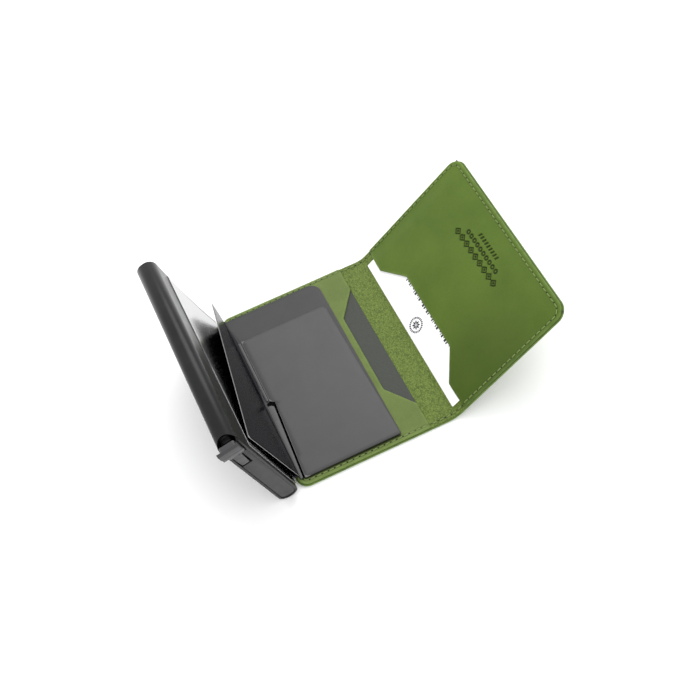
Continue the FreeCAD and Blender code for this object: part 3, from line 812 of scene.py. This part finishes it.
cover_corners = [PANEL_CORNER, FLAP_ROUND, FLAP_ROUND, PANEL_CORNER]
cover_edge = rectangle(0, COVER_END, -HALF, HALF, cover_corners, 0.8)
cover = slab(
    "cover_leather",
    cover_edge,
    lambda p, d: LEATHER + ripple(p, 9, 0.03, 1),
    lambda p, d: np.maximum(0.0, 0.02 + ripple(p, 11, 0.04, 2)) * smooth(d / 4),
    on_cover,
    outer_leather,
    rings=(0.36, 0.46, 0.56, 0.68, 0.82, 1.0, 1.4, 2.2, 3.2),
    pitch=1.5,
    rounding=0.6,
    # Painted shade in the crease where the upper leathers' edges sit on the cover.
    shade=lambda p: 0.6 * np.exp(-(((distance(p, cover_edge) - 0.46) / 0.16) ** 2)),
)
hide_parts("outer_leather_panel", "outer_leather_spine", "outer_leather_flap")
over_bend(cover)

strip_edge = rectangle(PANEL_WIDTH - 0.15, FLAP_SHIFT + 8.0, -HALF + INSET, HALF - INSET, [0.3] * 4, 0.7)

# How far the seams run inside the edge, and the edge distances at which the sheets have points.
SEW = 2.0
SEAM_RINGS = (0.6, 0.9, 1.15, 1.35, 1.55, 1.75, 2.0, 2.4, 3.0)


def seam_groove(gap):
    return -0.16 * np.exp(-(((gap - SEW) / 0.34) ** 2))


# Painted shade along the stitch groove.
def seam_groove_shade(gap):
    return 0.5 * np.exp(-(((gap - SEW) / 0.36) ** 2))


strip = slab(
    "spine_strip_leather",
    strip_edge,
    lambda p, d: 1.72 + ripple(p, 2.2, 0.05, 3) + seam_groove(HALF - np.abs(p[:, 1])),
    level(1.16),
    on_cover,
    grain_leather,
    rings=SEAM_RINGS,
    pitch=0.8,
    rounding=0.28,
    # Painted shade along the seam grooves.
    shade=lambda p: seam_groove_shade(HALF - np.abs(p[:, 1])),
)
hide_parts("spine_strip")
over_bend(strip)

# Middle pocket ----------

NOTCH_DEPTH, NOTCH_MOUTH, NOTCH_FLOOR = 9.6, 34.3, 21.1


def notched(corners, radii):
    """An outline given by its near half, which the far half mirrors."""
    far = [(x, -y) for x, y in reversed(corners)]
    return outline(corners + far, radii + radii[::-1], 0.7)


panel_edge = notched(
    [
        (INSET, -HALF + INSET),
        (PANEL_WIDTH, -HALF + INSET),
        (PANEL_WIDTH, -NOTCH_MOUTH),
        (PANEL_WIDTH - NOTCH_DEPTH, -NOTCH_FLOOR),
    ],
    [4.6, 0.0, 0.8, 1.0],
)


def panel_sewn(p):
    """Distance to the three closed sides of the middle pocket."""
    gap = np.minimum(HALF - np.abs(p[:, 1]), p[:, 0])
    side = HALF - np.abs(p[:, 1])
    r = PANEL_CORNER
    corner = np.hypot(np.maximum(r - p[:, 0], 0), np.maximum(r - side, 0))
    return np.where((p[:, 0] < r) & (side < r), r - corner, gap)


PANEL_TOP = pocket_high[2]


def panel_top(p, d):
    gap = panel_sewn(p)
    fall = 0.16 * (1 - smooth(gap / 4.5))
    mouth = 0.1 * smooth((p[:, 0] - PANEL_WIDTH + 14) / 14)
    return PANEL_TOP - fall + mouth + ripple(p, 8, 0.035, 4) + seam_groove(gap)


def under_clip(p):
    """Deep shade on the leather below the near edge of the clip."""
    across = smooth((p[:, 0] - 3.0) / 0.6) * smooth((48.6 - p[:, 0]) / 0.6)
    return across * smooth((p[:, 1] + HALF - 2.45) / 0.25) * smooth((-p[:, 1] - HALF + 6.0) / 0.6)


panel_pocket = slab(
    "panel_pocket_leather",
    panel_edge,
    panel_top,
    lambda p, d: SEWN + 0.4 * smooth((panel_sewn(p) - 1.2) / 1.4),
    on_cover,
    panel_leather,
    rings=SEAM_RINGS + (4.2,),
    pitch=1.5,
    rounding=0.42,
    # Painted shade along the seam groove and below the clip's near edge.
    shade=lambda p: np.maximum(seam_groove_shade(panel_sewn(p)), under_clip(p)),
)
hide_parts("panel_pocket")
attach(panel_pocket, "cover")

# Flap pocket ----------

FLAP_LEFT = 6.6
FLAP_CLOSED = FLAP_WIDTH - 0.4
PRESS = 0.5  # depth of the pressed pattern
flap_edge = outline(
    [
        (FLAP_LEFT, -HALF + INSET),
        (FLAP_WIDTH - INSET, -HALF + INSET),
        (FLAP_WIDTH - INSET, HALF - INSET),
        (FLAP_LEFT, HALF - INSET),
        (FLAP_LEFT, NOTCH_MOUTH),
        (FLAP_LEFT + NOTCH_DEPTH, NOTCH_FLOOR),
        (FLAP_LEFT + NOTCH_DEPTH, -NOTCH_FLOOR),
        (FLAP_LEFT, -NOTCH_MOUTH),
    ],
    [0.0, 5.6, 5.6, 0.0, 0.8, 1.0, 1.0, 0.8],
    0.7,
)


def flap_sewn(p):
    """Distance to the three closed sides of the flap pocket."""
    side = HALF - np.abs(p[:, 1])
    end = FLAP_CLOSED - p[:, 0]
    r = FLAP_ROUND
    corner = np.hypot(np.maximum(r - end, 0), np.maximum(r - side, 0))
    return np.where((end < r) & (side < r), r - corner, np.minimum(side, end))


def ornament(p):
    """A plain pressed pattern: a row of lozenges, a row of rings and a row of slanting strokes."""
    x, y = p[:, 0], p[:, 1]

    def row(middle, near, far, pitch):
        u = x - middle
        v = (y - near) % pitch - pitch / 2
        within = smooth((y - near) / 0.3) * smooth((far - y) / 0.3)
        return u, v, within

    u, v, within = row(48.7, -16.0, 20.0, 4.0)
    ring = np.abs(np.abs(u) / 1.75 + np.abs(v) / 1.95 - 0.84)
    lozenges = (1 - smooth((ring - 0.14) / 0.16)) * within
    dots = (1 - smooth((np.hypot(u, v) - 0.4) / 0.25)) * within
    u, v, within = row(52.5, -12.0, 15.0, 2.7)
    rings = (1 - smooth((np.abs(np.hypot(u, v) - 0.8) - 0.24) / 0.22)) * within
    u, v, within = row(56.2, -7.2, 9.0, 1.8)
    strokes = (1 - smooth((np.abs(v + 0.35 * u) - 0.3) / 0.22)) * (np.abs(u) < 1.0) * within
    return np.maximum(np.maximum(lozenges, dots), np.maximum(rings, strokes))


def flap_top(p, d):
    gap = flap_sewn(p)
    body = 2.42 + 0.6 * smooth((gap - 2.4) / 7.5)
    return body + ripple(p, 10, 0.045, 5) + seam_groove(gap) - PRESS * ornament(p)


def flap_bottom(p, d):
    gap = flap_sewn(p)
    room = SEWN + 0.97 * smooth((gap - 1.2) / 2.8)
    return np.minimum(room, flap_top(p, d) + PRESS * ornament(p) - 0.38)


def near_edge_shade(p):
    """Painted shade: the flap is darker toward its near edge and toward the bend."""
    return 0.4 * smooth((4 - p[:, 1]) / 44) * smooth((80 - p[:, 0]) / 50)


flap_pocket = slab(
    "flap_pocket_leather",
    flap_edge,
    flap_top,
    flap_bottom,
    on_flap,
    flap_leather,
    rings=SEAM_RINGS + (4.2,),
    pitch=1.5,
    rounding=0.42,
    dense=((46.4, -16.6), (57.6, 20.6), 0.24),
    # Painted shade along the seam groove, in the pressed pattern and toward the near edge.
    shade=lambda p: np.maximum(np.maximum(seam_groove_shade(flap_sewn(p)), 0.9 * ornament(p)), near_edge_shade(p)),
)
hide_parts("flap_pocket")
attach(flap_pocket, "flap")

# Stitching ----------

SEAM = HALF - SEW
FLAP_END = FLAP_CLOSED - SEW


def panel_run(side):
    """Half of the middle pocket's seam, from the middle of its closed end to its mouth."""
    line = [(SEW, side * (HALF - 9)), (SEW, side * SEAM), (PANEL_WIDTH - 0.8, side * SEAM)]
    return seam_path(line, PANEL_CORNER - SEW)


STRIP_ENDS = PANEL_WIDTH + 0.9, FLAP_SHIFT + FLAP_LEFT - 0.5
flap_corners = [(FLAP_LEFT + 0.9, -SEAM), (FLAP_END, -SEAM), (FLAP_END, SEAM), (FLAP_LEFT + 0.9, SEAM)]
PANEL_RUNS = [panel_run(side) for side in (-1, 1)]
STRIP_RUNS = [np.array([(x, side * SEAM) for x in STRIP_ENDS]) for side in (-1, 1)]
FLAP_RUNS = [seam_path(flap_corners, FLAP_ROUND - SEW)]

sew("panel", PANEL_RUNS, on_cover, PANEL_TOP - 0.17, PANEL_TOP - 0.16, "panel_stitching", "cover")
sew("spine", STRIP_RUNS, on_cover, 1.66, 1.66)
sew("flap", FLAP_RUNS, on_flap, 2.34, 2.32, "flap_stitching", "flap")

# Printed card ----------

CARD_BACK, CARD_FACE = 1.8, 2.06
card_edge = rectangle(2.0, 57.0, -43.4, 42.2, [0.4] * 4, 1.5)


def card_bow(p):
    """The card's bared edge stands up a little along its middle."""
    return 0.04 * np.cos(p[:, 1] / 43 * math.pi / 2) * (1 - smooth(p[:, 0] / 16))


card = slab(
    "printed_card",
    card_edge,
    lambda p, d: CARD_FACE + card_bow(p),
    lambda p, d: CARD_BACK + card_bow(p),
    on_flap,
    card_paper,
    pitch=2.5,
    rounding=0.08,
)
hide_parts("pocket_card")
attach(card, "card")


def print_marks():
    """A generic ring of short ticks round a rosette, and a row of short bars."""
    points, faces = [], []

    def patch(corners):
        first = len(points)
        points.extend(corners)
        faces.append(tuple(range(first, first + len(corners))))

    cx, cy = 7.45, -0.5
    half_tick = 0.09
    for k in range(24):
        a = 2 * math.pi * k / 24
        tick = ((2.8, -half_tick), (3.8, -half_tick), (3.8, half_tick), (2.8, half_tick))
        patch([(cx + r * math.cos(a + s), cy + r * math.sin(a + s)) for r, s in tick])
    petal = ((0.2, 0), (1.3, -0.48), (2.4, 0), (1.3, 0.48))
    for k in range(8):
        a = 2 * math.pi * k / 8 + 0.2
        c, s = math.cos(a), math.sin(a)
        patch([(cx + c * r - s * t, cy + s * r + c * t) for r, t in petal])
    y, row_end, bar_top = -20.5, 20, 16.9
    k = 0
    while y < row_end:
        width = 0.35 + 0.75 * ((k * 7) % 5) / 4
        start = 14.7 if k % 3 else 15.4
        patch([(start, y), (bar_top, y), (bar_top, y + width), (start, y + width)])
        y += width + (0.55 if k % 6 else 1.5)
        k += 1
    return np.array(points), faces


marks, mark_faces = print_marks()
marks_place = on_flap(marks, CARD_FACE + 0.012 + card_bow(marks))
print_piece = make_object("card_print", marks_place, mark_faces, card_ink)
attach(print_piece, "card")

# Plastic sheets ----------

left, near = panel_low[:2]
base_far_side = base_high[0] - left
base_edge = rectangle(1.3, base_far_side, base_low[1], base_high[1], [0.3, 0.5, 5.0, 0.3], 0.9)

# The clip's corners from the cover's near left corner. Its left side leans from the first corner
# to the last, and steps out where the near-black patch of painted shade on the base sheet ends.
CLIP = [(3.6, 3.0), (48.2, 3.0), (46.5, 79.4), (4.8, 79.4), (4.45, 44.5), (6.4, 43.2)]
CLIP_SLANT = (CLIP[5][0] - CLIP[0][0]) / (CLIP[5][1] - CLIP[0][1])


def clip_side(p):
    """How far each point lies left of the clip's slanting left edge."""
    return CLIP[0][0] + (p[:, 1] + HALF - CLIP[0][1]) * CLIP_SLANT - p[:, 0]


def base_shade(p):
    """Painted shade in the gap beside the clip's left edge along its near half."""
    near_half = smooth((-4.6 - p[:, 1]) / 0.4)
    return near_half * smooth((clip_side(p) + 0.8) / 0.2) * smooth((1.6 - clip_side(p)) / 0.25)


base = slab(
    "base_sheet_film",
    base_edge,
    lambda p, d: base_high[2] + ripple(p, 16, 0.02, 6),
    level(base_low[2] + 0.02),
    on_cover,
    base_plastic,
    pitch=2.0,
    rounding=0.14,
    dense=((2.0, base_low[1] + 0.6), (7.2, -3.0), 0.28),
    shade=base_shade,
    # Painted highlight on the base sheet's edges, none along its left edge.
    light=lambda p: smooth((p[:, 0] - 6.0) / 6.0),
)
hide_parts("base_sheet")
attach(base, "cover")

# The base sheet's raised strip has a lighter copy of the sheet's plastic: painted light where the strip is
# lit.
strip_line = outline(
    [(1.6, base_low[1] + 0.1), (2.8, base_low[1] + 0.1), (5.4, -6.6), (4.2, -5.6), (2.3, -5.6)],
    [0.3, 0.3, 0.6, 0.6, 0.8],
    0.4,
)
raised = flat_slab(
    "base_sheet_raised_strip", strip_line, base_high[2] + 0.42, base_high[2] - 0.1, strip_plastic_lit, 0.8, 0.3
)
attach(raised, "cover")

# A near-black patch on the base sheet beside the clip's notch: painted shade for the deep gap there.
shadow_patch_edge = outline(
    [(3.2, -5.9), (5.6, -6.6), (6.7, -4.9), (4.7, -3.3), (2.7, -4.2)],
    [0.3, 0.3, 0.5, 0.5, 0.4],
    0.3,
)
base_shadow_patch = flat_slab(
    "base_sheet_shadow_patch", shadow_patch_edge, base_high[2] + 0.26, base_high[2] - 0.1, shadow_patch_dark, 0.5, 0.08
)
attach(base_shadow_patch, "cover")

clip_edge = outline([(x, near + y) for x, y in CLIP], [0.4, 0.6, 2.6, 0.5, 0.5, 0.5], 0.9)


def clip_bow(p):
    """The clip's near free corner springs up."""
    return 0.5 * smooth((p[:, 0] - 8) / 40) * smooth((10 - p[:, 1]) / 55)


def clip_height(face):
    return lambda p, d: face + clip_bow(p) + ripple(p, 17, 0.02, 7)


clip = slab(
    "clip_sheet_plate",
    clip_edge,
    clip_height(clip_high[2]),
    clip_height(clip_low[2]),
    on_cover,
    clip_plastic,
    pitch=1.8,
    rounding=0.14,
    # Painted highlight on the clip's edges: strong along its left edge, faint elsewhere.
    light=lambda p: 0.1 + 0.9 * smooth((8.0 - p[:, 0]) / 2.0),
)
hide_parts("clip_sheet")
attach(clip, "clip")

rib_edge = rectangle(rib_low[0] - left, rib_high[0] - left, rib_low[1], rib_high[1], [0.4] * 4, 0.5)
rib = flat_slab("clip_rib_bead", rib_edge, rib_high[2], rib_low[2], clip_plastic, 0.6, 0.3)
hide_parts("clip_rib")
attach(rib, "cover")

# Film hinge and leaf ----------

film_low, film_high = corners_mm("hinge_film")
FILM_RADIUS, FILM_SWEEP = 3.66 + 0.3, math.radians(74.5)
film_foot = film_high[0]


def on_film(points, height):
    """Round the film's bend: first coordinate is the angle from the foot."""
    angle = points[:, 0]
    r = FILM_RADIUS - height
    x = film_foot - r * np.sin(angle)
    z = film_low[2] + FILM_RADIUS - r * np.cos(angle)
    return np.stack([x, points[:, 1], z], 1)


film_points, film_flat = [], []
FILM_ACROSS, FILM_ALONG = 14, 60
for height in (0.3, 0.02):
    for i in range(FILM_ACROSS + 1):
        for j in range(FILM_ALONG + 1):
            angle = FILM_SWEEP * i / FILM_ACROSS
            y = film_low[1] + (film_high[1] - film_low[1]) * j / FILM_ALONG
            film_points.append((angle, y))
            film_flat.append((angle * FILM_RADIUS, y, height))
film_flat = np.array(film_flat)
film = make_object(
    "hinge_film_bend",
    on_film(np.array(film_points), film_flat[:, 2]),
    two_sided(FILM_ACROSS, FILM_ALONG),
    dark_film,
    film_flat,
    np.zeros(len(film_flat)),
)
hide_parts("hinge_film")
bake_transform(film)

# Foot and tip of the leaf at its near and far ends, across and up from the cover's left edge.
LEAF_NEAR = ((1.55, 2.99), (-12.55, 49.6))
LEAF_FAR = ((1.9, 2.99), (-0.1, 24.6))
LEAF_Y = (5.2, 93.8)
LEAF_THICK = 0.26


def leaf_line(v):
    """The leaf's section at a share v of its length: flat on the sheet, round the bend, up to the tip."""
    foot = np.array(LEAF_NEAR[0]) * (1 - v) + np.array(LEAF_FAR[0]) * v
    tip = np.array(LEAF_NEAR[1]) * (1 - v) + np.array(LEAF_FAR[1]) * v
    reach = 0.35 + 2.5 * smooth((v - 0.42) / 0.2) * (1 - 0.95 * smooth((v - 0.82) / 0.18))
    rise = (tip - foot) / np.linalg.norm(tip - foot)
    out = foot + np.array([reach, 0])
    turn = foot + rise * reach
    flat = 0.1 + 1.2 * smooth((v - 0.45) / 0.15) * (1 - smooth((v - 0.7) / 0.1))
    line = [out + np.array([flat * (1 - t), 0]) for t in (0.0, 0.5)]
    for t in np.linspace(0, 1, 14):
        line.append(out * (1 - t) ** 2 + foot * 2 * t * (1 - t) + turn * t * t)
    for t in np.linspace(0, 1, 26)[1:]:
        line.append(turn + (tip - turn) * t)
    return np.array(line)


leaf_points, leaf_flat, leaf_highlight = [], [], []
LEAF_OVER = 64
LEAF_UP = len(leaf_line(0.0)) - 1
for side in (1, -1):
    for i in range(LEAF_UP + 1):
        for j in range(LEAF_OVER + 1):
            # The far edge is cut back so that the leaf ends in a slanting tip.
            v = j / LEAF_OVER * (1 - 0.052 * max(0.0, (i - 15) / (LEAF_UP - 15)))
            line = leaf_line(v)
            run = line[min(i + 1, LEAF_UP)] - line[max(i - 1, 0)]
            run /= np.linalg.norm(run)
            square = np.array([-run[1], run[0]]) if run[0] > 0 else np.array([run[1], -run[0]])
            x, z = line[i] + square * LEAF_THICK / 2 * side
            y = near + LEAF_Y[0] + (LEAF_Y[1] - LEAF_Y[0]) * v
            leaf_points.append((left + x, y, z))
            leaf_flat.append((i * 1.4, v * 88, 0.0))
            # Painted highlight along the leaf's near and far ends and its top edge.
            leaf_highlight.append(1.0 if j in (0, LEAF_OVER) or i == LEAF_UP else 0.0)
leaf_faces = two_sided(LEAF_UP, LEAF_OVER)
leaf = make_object("hinge_leaf_film", leaf_points, leaf_faces, dark_film, leaf_flat, leaf_highlight)
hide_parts("hinge_leaf")
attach(leaf, "cover")
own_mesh(leaf)

# Card case ----------


def on_corner_cut(spot):
    """True for the broken edges of the arc beside the button, and of the foot below it."""
    across = (np.array(spot) / MM - case_origin) @ upward
    along = spot.y / MM - case_origin[1]
    return (along < 5.2 and across > 58.0) or (along < 0.4 and across < 4.5)


def slimmer_tab(spot):
    """Leaves a clear gap round the button's tab, which lies in the end cap."""
    at = np.array(spot) / MM - case_origin
    up, out = at @ upward, at @ outward
    if up > 51.05:
        return spot
    new_up = max(up, 42.5)
    new_out = min(max(out, 4.15), 7.4)
    moved = case_origin + at + (new_up - up) * upward + (new_out - out) * outward
    return Vector(moved * MM)


# CAD node, piece, material, width of the broken edges, slot, body
HARD_PARTS = (
    ("case_tube", "case_tube_shell", aluminium, 0.2, "anodised", "case"),
    ("end_cap", "case_end_cap", cap_plastic, 0.12, "cap_plastic", "case"),
    ("card_brake", "card_brake_strip", felt, 0.12, "felt", "case"),
    ("lever_pivot_pin", "lever_pivot", steel, 0.1, "steel", "case"),
    ("lever_spring", "lever_spring_coil", steel, 0, "steel", "case"),
    ("ejector_lever", "ejector_lever_steps", lever_plastic, 0.12, "lever_plastic", "lever"),
    ("ejector_button", "ejector_button_cap", button_plastic, 0.14, "cap_plastic", "button"),
)
# The case's raw cut edges are near-white: real raw metal and painted highlight in one.
EXTRAS = {"case_tube": {"worn": (raw_edge_and_highlight, on_corner_cut)}, "ejector_button": {"shift": slimmer_tab}}
for node, name, material, width, slot, body in HARD_PARTS:
    piece = refined(node, name, material, width, **EXTRAS.get(node, {}))
    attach(piece, body)

# The plate's far end is cut in the same slight arc as the tube.
PLATE_LOW, PLATE_NEAR_TOP, PLATE_FAR_TOP, PLATE_END, PLATE_SCOOP = 3.0, 49.3, 51.6, 93.2, 2.6
plate_line = [(PLATE_LOW, 2.0), (PLATE_NEAR_TOP, 2.0), (PLATE_FAR_TOP, PLATE_END)]
for k in range(1, 16):
    t = k / 16
    cut_back = PLATE_SCOOP * math.sin(math.pi * t)
    plate_line.append((PLATE_FAR_TOP - (PLATE_FAR_TOP - PLATE_LOW) * t, PLATE_END - cut_back))
plate_line.append((PLATE_LOW, PLATE_END))
plate_edge = outline(plate_line, [0.3, 0.3, 0.3] + [0] * 15 + [0.3], 0.8)


def plate_shade(p):
    """Painted shade: a fine dark line along the edge of the plate's upper part."""
    return smooth((p[:, 1] - 40) / 14) * (1 - smooth((distance(p, plate_edge) - 0.1) / 0.1))


plate = slab(
    "case_plate_film",
    plate_edge,
    level(-0.02),
    lambda p, d: -0.26 + ripple(p, 15, 0.02, 8),
    on_case,
    plate_film,
    rings=(0.1, 0.2),
    pitch=2.0,
    rounding=0.12,
    shade=plate_shade,
    # Painted highlight on the plate's edge, only toward its near end.
    light=lambda p: 1 - smooth((p[:, 1] - 40) / 14),
)
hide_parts("case_plate")
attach(plate, "case")

for node in ("panel_lining", "flap_lining"):
    frame["nodes"][node].data.materials.clear()
    frame["nodes"][node].data.materials.append(lining)

# Floor, light and camera ----------

floor_finish = bpy.data.materials.new("floor")
floor_finish.use_nodes = True
floor_shader = floor_finish.node_tree.nodes["Principled BSDF"]
floor_shader.inputs["Base Color"].default_value = (0.93, 0.93, 0.93, 1)
floor_shader.inputs["Roughness"].default_value = 0.9
floor_shader.inputs["Specular IOR Level"].default_value = 0.2
half = 3.0
floor_corners = [(-half, -half, 0), (half, -half, 0), (half, half, 0), (-half, half, 0)]
floor_mesh = bpy.data.meshes.new("floor")
floor_mesh.from_pydata(floor_corners, [], [(0, 1, 2, 3)])
floor_mesh.materials.append(floor_finish)
floor = bpy.data.objects.new("floor", floor_mesh)
floor.location.z = -0.00005
link(floor)

world = bpy.data.worlds.new("studio")
world.use_nodes = True
background = world.node_tree.nodes["Background"]
background.inputs["Color"].default_value = (1.0, 1.0, 1.0, 1)
background.inputs["Strength"].default_value = 1.35
bpy.context.scene.world = world


light = bpy.data.lights.new("key", "AREA")
light.shape = "DISK"
light.size = 1.0
light.energy = 8.0
lamp = bpy.data.objects.new("key", light)
lamp.location = (0.35, 0.85, 1.25)
lamp.rotation_euler = (-lamp.location).to_track_quat("-Z", "Y").to_euler()
link(lamp)

camera_data = bpy.data.cameras.new("camera")
camera_data.lens = 65.99
camera_data.sensor_width = 36.0
camera_data.shift_x = 0.045324
camera_data.shift_y = 0.019469
camera_data.clip_start = 0.01
camera_data.clip_end = 20.0
camera = bpy.data.objects.new("camera", camera_data)
camera.location = (-0.060688, -0.288868, 0.465568)
camera.rotation_euler = [math.radians(turn) for turn in (32.66725, 8.08492, -23.65682)]
link(camera)
bpy.context.scene.camera = camera
bpy.context.scene.view_settings.view_transform = "Standard"
